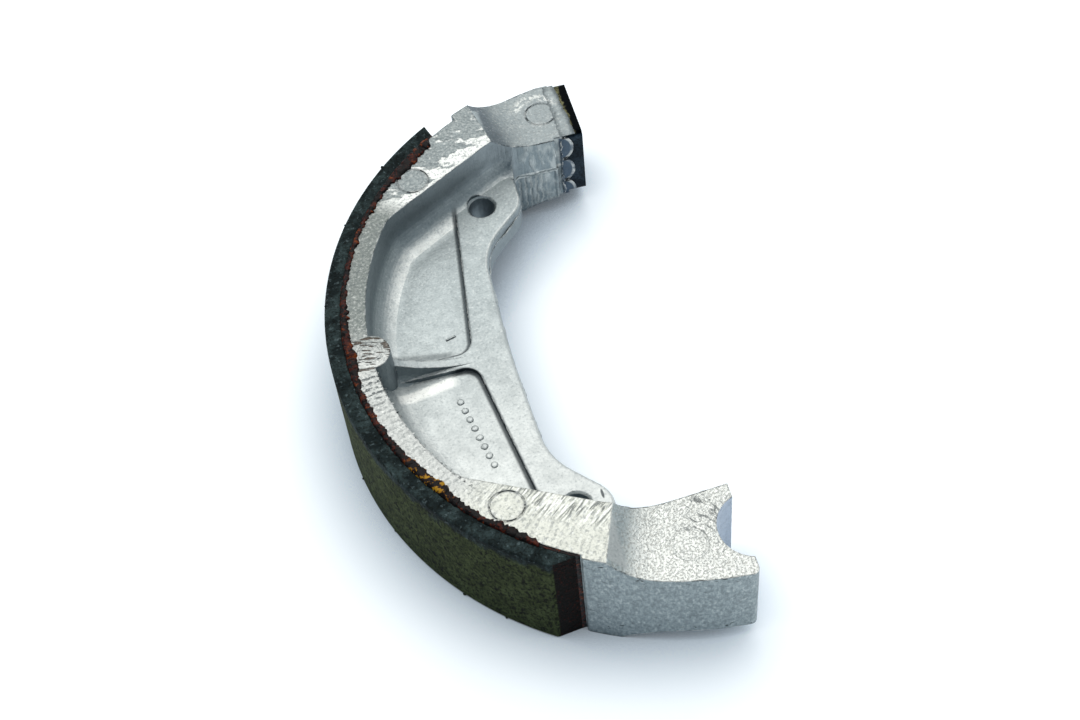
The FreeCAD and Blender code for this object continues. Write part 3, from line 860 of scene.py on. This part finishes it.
def burrAlong(name, points, seed, radius=burr["radius"], lump=burr["lump"]):
    # thin ragged tube along a line of points in millimetres
    points = [Vector(p) for p in points]
    rings = []
    run = 0.0
    for i, point in enumerate(points):
        before = points[max(0, i - 1)]
        after = points[min(len(points) - 1, i + 1)]
        way = (after - before).normalized()
        side = way.cross(Vector((0, 0, 1)) if abs(way.z) < 0.9 else Vector((0, 1, 0))).normalized()
        up = side.cross(way)
        run += (point - before).length
        size = radius + lump * max(0.0, ripple(run, seed, 0.8) + 0.5 * ripple(run, seed + 2, 0.35))
        shift = side * (0.5 * lump * ripple(run, seed + 4, 0.6))
        if i in (0, len(points) - 1):
            size = 0.02
        ring = []
        for k in range(burr["sides"]):
            turn = 2 * math.pi * k / burr["sides"] + ripple(run, seed + 6, 0.5)
            ring.append(point + shift + side * (size * math.cos(turn)) + up * (0.7 * size * math.sin(turn)))
        rings.append(ring)
    skinPiece(name, rings, "cast_aluminium")


def onTop(xy):
    # the same points, laid on the casting from above
    points = []
    for x, y in xy:
        hit = castTree.ray_cast(Vector((x, y, 40)), Vector((0, 0, -1)))[0]
        if hit:
            points.append((x, y, hit.z - 0.02))
    return points


def anchorHubY(x):
    return shoe["anchorHub"][1] - (shoe["anchorHub"][0] - x) * shoe["anchorHubSlope"]


def makeBurrs():
    camHub = [(x, shoe["camHubY"] - 0.08) for x in spaced(22.4, shoe["plateBackX"] - 0.4, 0.2)]
    camDrum = [polar(shoe["camR"] - 0.08, angle, 0)[:2] for angle in spaced(-68.5, -81.5, 0.2)]
    anchorHub = [(x, anchorHubY(x) + 0.10) for x in spaced(21.5, shoe["anchorEndX"] + 0.3, 0.2)]
    anchorDrum = [polar(shoe["anchorR"] - 0.08, angle, 0)[:2] for angle in spaced(58.0, 86.5, 0.2)]
    burrAlong("burr_cam_hub_side", onTop(camHub), 11, 0.07, 0.24)
    burrAlong("burr_cam_drum_side", onTop(camDrum), 12, 0.05, 0.16)
    burrAlong("burr_anchor_hub_side", onTop(anchorHub), 13, 0.05, 0.16)
    burrAlong("burr_anchor_drum_side", onTop(anchorDrum), 14, 0.05, 0.18)
    beside = [(9.8 + 0.25 * ripple(z, 15, 1.6), shoe["camHubY"] + 0.02, z) for z in spaced(4.3, 19.6, 0.2)]
    burrAlong("burr_beside_plate", beside, 16, 0.14, 0.34)


makeBurrs()


# parting line round the web's hub side: a torn ridge where the two die halves met

def makeParting():
    points = []
    for angle in spaced(-61.0, 60.0, 0.4):
        way = Vector(polar(1, angle, 0))
        hit, normal, face, away = castTree.ray_cast(Vector((0, 0, shoe["middleZ"])), way)
        if hit:
            points.append((hit, normal))
    rings = []
    run = 0.0
    for i, (hit, normal) in enumerate(points):
        run += (hit - points[max(0, i - 1)][0]).length
        wide = 0.10 + 0.28 * max(0.0, ripple(run, 21, 3.1) + 0.7 * ripple(run, 22, 0.6) + 0.2)
        tall = 0.22 + 0.20 * ripple(run, 23, 0.7)
        lift = 1.0 + 0.6 * ripple(run, 24, 2.2)
        if i in (0, len(points) - 1):
            wide = 0.03
        back = hit - normal * 0.05
        up = Vector((0, 0, 1))
        rings.append([back + up * (lift + tall), hit + normal * wide * 0.7 + up * (lift + tall * 0.7),
                      hit + normal * wide + up * lift, hit + normal * wide * 0.7 + up * (lift - tall * 0.7),
                      back + up * (lift - tall)])
    skinPiece("parting_ridge", rings, "cast_aluminium")


makeParting()


# torn teeth that the grinding left along the rim's inner edge

tooth = {
    "from": -3.0,
    "to": 37.0,
    "bossHalf": 4.5,
    "pitch": (0.8, 1.5),
    "reach": (0.10, 0.50),
    "half": (0.16, 0.36),
    "deep": (0.12, 0.3),
}


def makeTeeth():
    mesh = bmesh.new()
    rng = random.Random(5)
    angle = tooth["from"]
    while angle < tooth["to"]:
        angle += rng.uniform(*tooth["pitch"])
        if abs(angle) < tooth["bossHalf"]:
            continue
        half = math.degrees(rng.uniform(*tooth["half"]) / shoe["rimInnerR"])
        outer = shoe["rimInnerR"] + 0.12
        inner = shoe["rimInnerR"] - rng.uniform(*tooth["reach"])
        high = shoe["rimTopZ"] + 0.03
        low = high - rng.uniform(*tooth["deep"])
        tipHalf = half * rng.uniform(0.1, 0.6)
        rows = []
        tip = (inner, tipHalf, high - 0.03, low + 0.1)
        for radius, halfWide, top, foot in ((outer, half, high, low), tip):
            corners = ((-1, top), (1, top), (1, foot), (-1, foot))
            rows.append([polar(radius, angle + side * halfWide, z) for side, z in corners])
        addSkin(mesh, rows)
    addPiece("rim_teeth", mesh, "cast_aluminium", smooth=False)


makeTeeth()


# flash: a thin skin of aluminium that ran over the wear plate's upper edge and tore there

flash = {
    "start": 10.6,
    "edge": (7.35, -0.95),  # where it tears: at the drum side, and how that shifts to the hub side
    "rise": (-0.06, 0.0, 0.05, 0.09, 0.09),
}


def makeFlash():
    low, high = shoe["plateY"]
    rings = []
    for y in spaced(low + 0.35, high + 0.15, 0.16):
        share = (y - low) / (high - low)
        edge = flash["edge"][0] + flash["edge"][1] * share
        edge += 0.30 * ripple(y, 31, 1.1) + 0.15 * ripple(y, 32, 0.35)
        edge += 0.9 * max(0.0, abs(2 * share - 1) - 0.86)
        start = flash["start"] + 0.5 * ripple(y, 35, 1.5)
        ring = []
        for i, rise in enumerate(flash["rise"]):
            x = start + (edge + 0.15 - start) * i / (len(flash["rise"]) - 1)
            ring.append((x, y, shoe["upperPadZ"] + rise + 0.02 * ripple(y + 3 * x, 33, 0.7)))
        ring.append((edge, y, shoe["upperPadZ"] + 0.03))
        ring.append((edge + 0.05, y, shoe["upperPadZ"] - 0.03))
        ring.append((start, y, shoe["upperPadZ"] - 0.12))
        rings.append(ring)
    skinPiece("plate_flash", rings, "cast_aluminium")


makeFlash()


def makeGate():
    rings = []
    near, far = gate["x"]
    for x in spaced(near, far, 0.13):
        hit = castTree.ray_cast(Vector((x, shoe["camHubY"] - 0.35, -10)), Vector((0, 0, 1)))[0]
        low = (hit.z if hit else gate["bottom"]) + 0.3
        over = max(0.0, x - (far - gate["corner"]))
        top = gate["top"] - gate["corner"] + math.sqrt(max(0.0, gate["corner"] ** 2 - over ** 2))
        top += 0.3 * ripple(x, 41, 1.2) + 0.6 * ripple(x, 44, 4.0)
        ring = []
        for i in range(gate["rows"] + 1):
            z = low + (top - low) * i / gate["rows"]
            inside = min(z - low + 0.3, top - z, (x - near) * 0.8, far - x)
            border = gate["border"] * math.exp(-((inside - 0.45) / 0.28) ** 2)
            border *= 0.8 + 0.5 * ripple(x + z, 42, 0.9)
            wave = 2 * math.pi * x / gate["pitch"] + 1.0 * ripple(z, 43, 3.0) + 2.2 * ripple(x, 45, 2.5)
            comb = 0.5 + 0.5 * math.sin(wave)
            rise = -0.10 + min(1.0, inside / 0.35) * 0.12
            combed = min(1.0, max(0.0, inside - 0.5)) * min(1.0, max(0.0, x - gate["combFrom"] + 0.5))
            rise += border + gate["comb"] * comb * combed
            ring.append((x, shoe["camHubY"] + rise, z))
        ring.append((x, shoe["camHubY"] - 0.2, top))
        ring.append((x, shoe["camHubY"] - 0.2, low))
        rings.append(ring)
    skinPiece("gate_scar", rings, "cast_aluminium")


makeGate()


# skin that closed the ejector marks' rings again, in stretches

def makeRingSkin():
    mesh = bmesh.new()
    rng = random.Random(12)
    for markX, markY, markR, markZ, closed in ejectorMarks:
        angle = rng.uniform(0, 360)
        end = angle + 360
        while angle < end - 6:
            stretch = min(rng.uniform(50, 150), end - angle)
            filled = stretch * closed
            rings = []
            for turn in spaced(angle, angle + filled, 5):
                radius = markR - 0.5 * shoe["ringWide"]
                half = 0.5 * shoe["ringWide"] + (0.15 if closed == 1 else 0.03)
                top = markZ + (0.012 if closed == 1 else 0.01 * ripple(turn, 51, 12) - 0.01)
                foot = markZ - 0.9 * shoe["ringDeep"]
                ring = []
                for side, z in ((-1, top), (1, top), (1, foot), (-1, foot)):
                    px, py, pz = polar(radius + side * half, turn, z)
                    ring.append((markX + px, markY + py, pz))
                rings.append(ring)
            addSkin(mesh, rings)
            angle += stretch
    addPiece("ejector_ring_skin", mesh, "cast_aluminium", smooth=False)


makeRingSkin()


# raised marks of the die in the sunk panels: one plain bar, and a row of plain pips

markSet = {
    "bar": ((42.9, -6.4), (40.9, -7.0)),
    "barHalf": 0.26,
    "rise": 0.28,
    "pipRow": ((43.4, 8.6), (40.6, 24.0)),
    "pips": 8,
    "pipRadius": 0.70,
    "sides": 18,
}


def addPip(mesh, x, y, seed, low, high):
    rings = []
    for share, z in ((1.05, low), (0.95, high - 0.16), (0.78, high - 0.05), (0.45, high)):
        ring = []
        for k in range(markSet["sides"]):
            turn = 2 * math.pi * k / markSet["sides"]
            swell = 1 + 0.16 * noise.noise(Vector((math.cos(turn), math.sin(turn), seed)))
            radius = markSet["pipRadius"] * share * swell
            ring.append((x + radius * math.cos(turn), y + radius * math.sin(turn), z))
        rings.append(ring)
    addSkin(mesh, rings)


def addBar(mesh, start, end, low, high):
    rings = []
    half = markSet["barHalf"]
    way = (Vector(end) - Vector(start)).normalized()
    side = Vector((-way.y, way.x))
    for inset, z in ((0.0, low), (0.06, high - 0.08), (0.15, high)):
        a, b = Vector(start) + way * inset, Vector(end) - way * inset
        wide = side * (half - inset)
        rings.append([(*corner, z) for corner in (a + wide, a - wide, b - wide, b + wide)])
    addSkin(mesh, rings)


def makeMarks():
    low = shoe["pocketZ"] - 0.1
    high = shoe["pocketZ"] + markSet["rise"]
    mesh = bmesh.new()
    addBar(mesh, *markSet["bar"], low, high)
    (x0, y0), (x1, y1) = markSet["pipRow"]
    for i in range(markSet["pips"]):
        share = i / (markSet["pips"] - 1)
        addPip(mesh, x0 + (x1 - x0) * share, y0 + (y1 - y0) * share, 3.1 * i, low, high)
    addPiece("die_marks", mesh, "cast_aluminium")


makeMarks()


# crumbs of lining left standing along its edges

crumbSpots = ((-44.5, 24.0, 0.42), (-30.0, 24.1, 0.25), (9.0, 0.5, 0.3), (38.0, 0.4, 0.42),
              (46.0, 0.3, 0.3), (-12.0, 24.1, 0.22), (21.0, 0.4, 0.25))     # angle, height and size


def makeCrumbs():
    mesh = bmesh.new()
    rng = random.Random(8)
    for angle, z, size in crumbSpots:
        made = bmesh.ops.create_icosphere(mesh, subdivisions=2, radius=size * mm)
        centre = Vector(polar(shoe["drumR"] - 0.1, angle, z)) * mm
        stretch = Vector((rng.uniform(0.6, 1.2), rng.uniform(0.6, 1.2), rng.uniform(0.6, 1.1)))
        for vert in made["verts"]:
            swell = 1 + 0.35 * noise.noise(vert.co / mm * 3.0 + Vector((angle, z, 0)))
            vert.co = vert.co * stretch * swell + centre
    addPiece("lining_crumbs", mesh, "friction_compound")


makeCrumbs()
print("burrs, flash, gate scar, marks and crumbs made")


# floor and light: white paper, a large warm softbox overhead, cool fill that is dim on the camera's side

stageSet = {
    "floor": "#F6F7F8",
    "floorPale": "#FFFFFF",
    "cloudMm": 30,
    "sizeM": 6.0,
    "cameraLift": 0.50,
    "liftColor": "#F1F9FF",
    "shade": "#4E8CB0",             # paper close to the shoe, where its light is cut off
    "shadeM": 0.020,
    # painted shadow where the shoe meets the paper
    "contactShadow": "#2C4A5E",
}
light = {
    "boxSize": 1.5,
    "boxPlace": (0.0, -0.36, 1.0),
    "boxPower": 8.9,
    "boxColor": (1.0, 0.985, 0.955),
    "brightFill": (0.46, 0.51, 0.54),
    "dimFill": (0.12, 0.165, 0.205),
    "brightSide": (-0.25, -0.85, 0.45),
    "fillEdge": (-0.25, 0.55),
}


def makeFloor():
    material, node = newMaterial("whitePaperSweep")
    place = node("VectorMath SCALE", node("TexCoord").node.outputs["Object"], Scale=1 / mm)
    cloudy = node(grain, place, Scale=1 / stageSet["cloudMm"], Detail=2.0)
    # painted shadow: ambient occlusion darkens the paper near the shoe, darkest where it meets the paper
    shade = node("AmbientOcclusion", Distance=stageSet["shadeM"], samples=8).node.outputs["AO"]
    contactShadow = node(step, shade, 0.60, 0.30, 0.0, 0.7)
    shade = node(step, shade, 1.0, 0.1)
    color = node(mix, node(step, cloudy, 0.3, 0.7, 0.0, 0.2), stageSet["floor"], stageSet["floorPale"])
    color = node(mix, shade, color, stageSet["shade"])
    color = node(mix, contactShadow, color, stageSet["contactShadow"])
    matt = node("BsdfPrincipled", color, Roughness=1.0, **{"Specular IOR Level": 0.0})
    path = node("LightPath").node.outputs
    seen = node(most, path["Is Camera Ray"], node(most, path["Is Glossy Ray"], path["Is Transmission Ray"]))
    # the camera's lift is dimmed in the painted shadow too
    seen = node(times, seen, node(minus, 1.0, node(most, contactShadow, node(times, shade, 0.8))))
    lift = node("Emission", stageSet["liftColor"], node(times, seen, stageSet["cameraLift"]))
    node("OutputMaterial", node("AddShader", matt, lift))
    half = stageSet["sizeM"] / 2
    mesh = bpy.data.meshes.new("floor")
    corners = [(-half, -half, 0), (half, -half, 0), (half, half, 0), (-half, half, 0)]
    mesh.from_pydata(corners, [], [(0, 1, 2, 3)])
    mesh.materials.append(material)
    floor = bpy.data.objects.new("floor", mesh)
    bpy.context.scene.collection.objects.link(floor)


def makeLight():
    data = bpy.data.lights.new("softbox", "AREA")
    data.shape = "SQUARE"
    data.size = light["boxSize"]
    data.energy = light["boxPower"]
    data.color = light["boxColor"]
    lamp = bpy.data.objects.new("softbox", data)
    lamp.location = light["boxPlace"]
    lamp.rotation_euler = (-lamp.location).to_track_quat("-Z", "Y").to_euler()
    bpy.context.scene.collection.objects.link(lamp)
    world = bpy.data.worlds.new("studio")
    world.use_nodes = True
    world.node_tree.nodes.clear()
    node = functools.partial(addNode, world.node_tree)
    way = node("TexCoord").node.outputs["Generated"]
    lit = node("VectorMath DOT_PRODUCT", way, light["brightSide"])
    lit = node(step, lit, *light["fillEdge"])
    fill = node(mix, lit, (*light["dimFill"], 1), (*light["brightFill"], 1))
    node("OutputWorld", node("Background", fill, 1.0))
    bpy.context.scene.world = world


makeFloor()
makeLight()
print("floor and light ready")

bpy.context.scene.view_settings.view_transform = "Standard"

bpy.context.view_layer.update()
